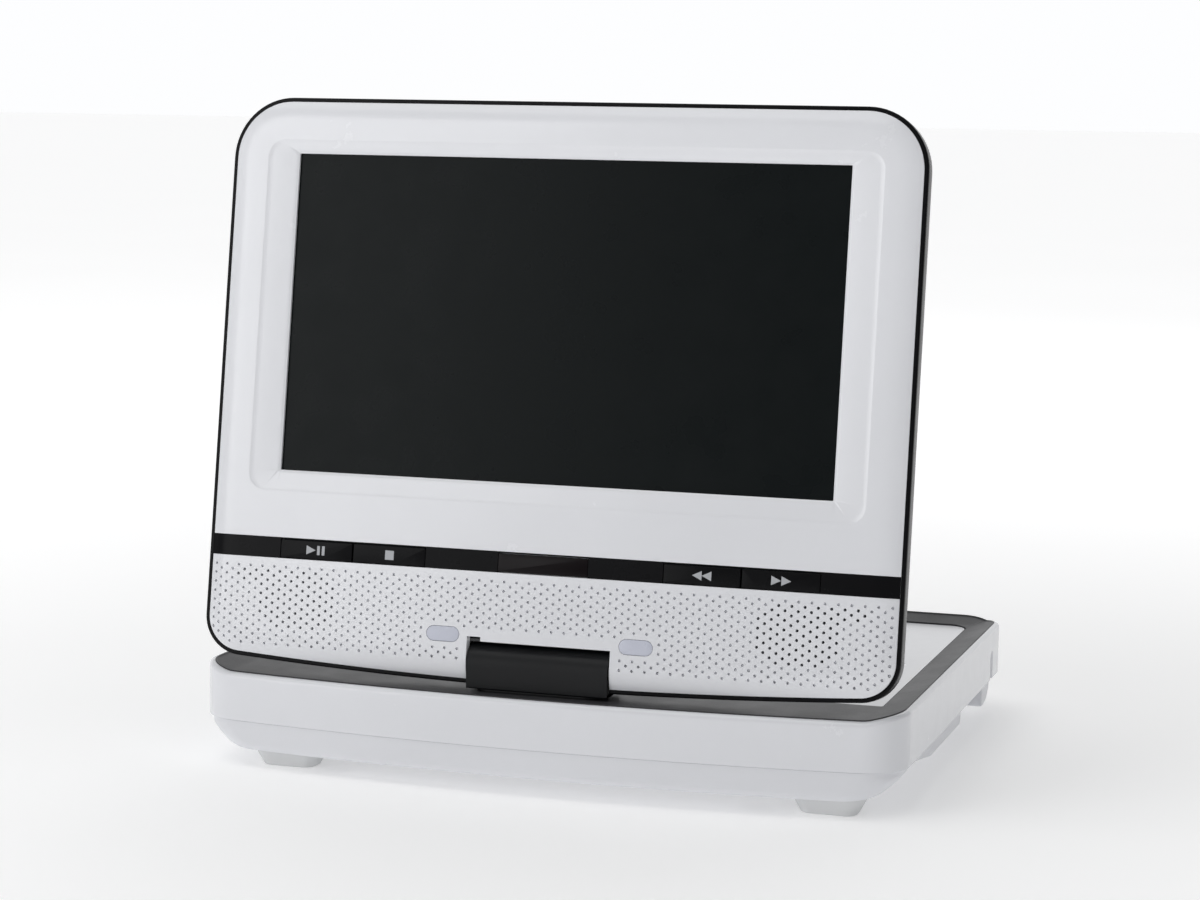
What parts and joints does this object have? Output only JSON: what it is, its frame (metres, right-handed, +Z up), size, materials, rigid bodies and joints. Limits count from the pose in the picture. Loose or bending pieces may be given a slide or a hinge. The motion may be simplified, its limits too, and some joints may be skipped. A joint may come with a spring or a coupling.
{
  "type": "portable dvd player",
  "caption": "Portable disc player: wide screen with keys and speakers on a swivel and tilt hinge at the front of a flat disc-drive base on rubber feet.",
  "frame": {"origin": "middle of the object's bounding box in X and Y, on the plane the rubber feet stand on", "axes": "+X to the viewer's right along the width, +Y from the screen side to the lid latch side, +Z up"},
  "size_m": [0.1972, 0.1642, 0.1825],
  "materials": {
    "white_gloss": "glossy cool white moulding",
    "white_satin": "satin white moulding",
    "black_gloss": "glossy black moulding",
    "black_satin": "satin black moulding",
    "grey_rim": "dark grey satin paint on plastic",
    "deck_grey": "dark grey fine grain",
    "lavender": "pale lavender grey caps",
    "foot_rubber": "pale grey rubber",
    "dark_rubber": "black soft rubber",
    "steel": "bright steel",
    "zinc": "zinc-plated sheet",
    "aluminium": "plain aluminium",
    "pcb": "green circuit board",
    "chip": "black epoxy chip",
    "lcd": "black screen with the light off",
    "diffuser": "white light guide",
    "lens": "coated lens",
    "ir_tint": "deep red-black window",
    "cell": "dark blue sleeve",
    "cone": "black paper cone"
  },
  "bodies": {
    "base": {"base_upper_shell": "white_gloss", "base_lower_shell": "white_satin", "base_rim": "grey_rim", "disc_deck": "deck_grey", "spindle_motor": "steel", "mech_chassis": "zinc", "mech_grommets": "dark_rubber", "guide_rods": "steel", "sled_motor": "steel", "main_board": "pcb", "board_chips": "chip", "power_board": "pcb", "battery_pack": "cell", "battery_cover": "white_satin", "headphone_jacks": "black_satin", "av_jack": "black_satin", "dc_jack": "black_satin", "jack_board": "pcb", "volume_pot": "chip", "power_switch_case": "chip", "rubber_feet": "foot_rubber", "base_screws": "steel"},
    "lid": {"disc_lid": "white_gloss", "lid_hinge_pins": "steel"},
    "latch": {"lid_latch_button": "black_satin"},
    "turntable": {"turntable_hub": "black_satin"},
    "screw": {"lead_screw": "steel"},
    "sled": {"laser_sled": "black_satin", "lens_holder": "black_satin", "laser_lens": "lens"},
    "volume": {"volume_dial": "black_satin"},
    "power": {"power_slider": "black_satin"},
    "hinge": {"hinge_block": "black_satin", "tilt_pins": "steel", "swivel_shaft": "steel", "swivel_retainer": "steel", "swivel_plate": "black_satin", "block_screws": "steel"},
    "screen": {"front_bezel": "white_gloss", "rear_cover": "black_gloss", "screen_screws": "steel", "screw_cover_pads": "lavender", "lcd_frame": "aluminium", "lcd_glass": "lcd", "lcd_backlight": "diffuser", "lcd_driver_board": "pcb", "control_strip": "black_gloss", "ir_window": "ir_tint", "key_board": "pcb", "ir_receiver": "chip", "left_speaker": "cone", "right_speaker": "cone", "tilt_brackets": "zinc"},
    "play_pause": {"play_pause_key": "black_gloss"},
    "stop": {"stop_key": "black_gloss"},
    "rewind": {"rewind_key": "black_gloss"},
    "forward": {"forward_key": "black_gloss"}
  },
  "joints": [
    {"name": "screen_swivel", "type": "hinge", "parent": "base", "child": "hinge", "pos_m": [0, -0.0697, 0.0328], "axis": [0, 0, 1], "range_deg": [-180, 0]},
    {"name": "screen_tilt", "type": "hinge", "parent": "hinge", "child": "screen", "pos_m": [0, -0.0697, 0.0328], "axis": [1, 0, 0], "range_deg": [-80.5, 97.5]},
    {"name": "lid_hinge", "type": "hinge", "parent": "base", "child": "lid", "pos_m": [0, -0.052, 0.0251], "axis": [1, 0, 0], "range_deg": [0, 70]},
    {"name": "latch_slide", "type": "slide", "parent": "base", "child": "latch", "axis": [0, 1, 0], "range_m": [0, 0.0018], "stiffness_N_per_m": 600, "springref_m": -0.0006},
    {"name": "turntable_spin", "type": "hinge", "parent": "base", "child": "turntable", "pos_m": [0, 0.0095, 0.017], "axis": [0, 0, 1], "continuous": true},
    {"name": "lead_screw_turn", "type": "hinge", "parent": "base", "child": "screw", "pos_m": [0.02, 0.029, 0.0131], "axis": [1, 0, 0], "range_deg": [0, 3600]},
    {"name": "sled_slide", "type": "slide", "parent": "base", "child": "sled", "axis": [1, 0, 0], "range_m": [0, 0.03]},
    {"name": "volume_turn", "type": "hinge", "parent": "base", "child": "volume", "pos_m": [-0.0904, -0.014, 0.018], "axis": [0, 0, 1], "range_deg": [-135, 135]},
    {"name": "power_slide", "type": "slide", "parent": "base", "child": "power", "axis": [0, 1, 0], "range_m": [0, 0.0038]},
    {"name": "play_pause_press", "type": "slide", "parent": "screen", "child": "play_pause", "axis": [0, 0.989, -0.1478], "range_m": [0, 0.0004], "stiffness_N_per_m": 1500, "springref_m": -0.0003},
    {"name": "stop_press", "type": "slide", "parent": "screen", "child": "stop", "axis": [0, 0.989, -0.1478], "range_m": [0, 0.0004], "stiffness_N_per_m": 1500, "springref_m": -0.0003},
    {"name": "rewind_press", "type": "slide", "parent": "screen", "child": "rewind", "axis": [0, 0.989, -0.1478], "range_m": [0, 0.0004], "stiffness_N_per_m": 1500, "springref_m": -0.0003},
    {"name": "forward_press", "type": "slide", "parent": "screen", "child": "forward", "axis": [0, 0.989, -0.1478], "range_m": [0, 0.0004], "stiffness_N_per_m": 1500, "springref_m": -0.0003}
  ],
  "couplings": [
    {"joint": "lead_screw_turn", "follows": "sled_slide", "rad_per_m": 2094.4}
  ]
}
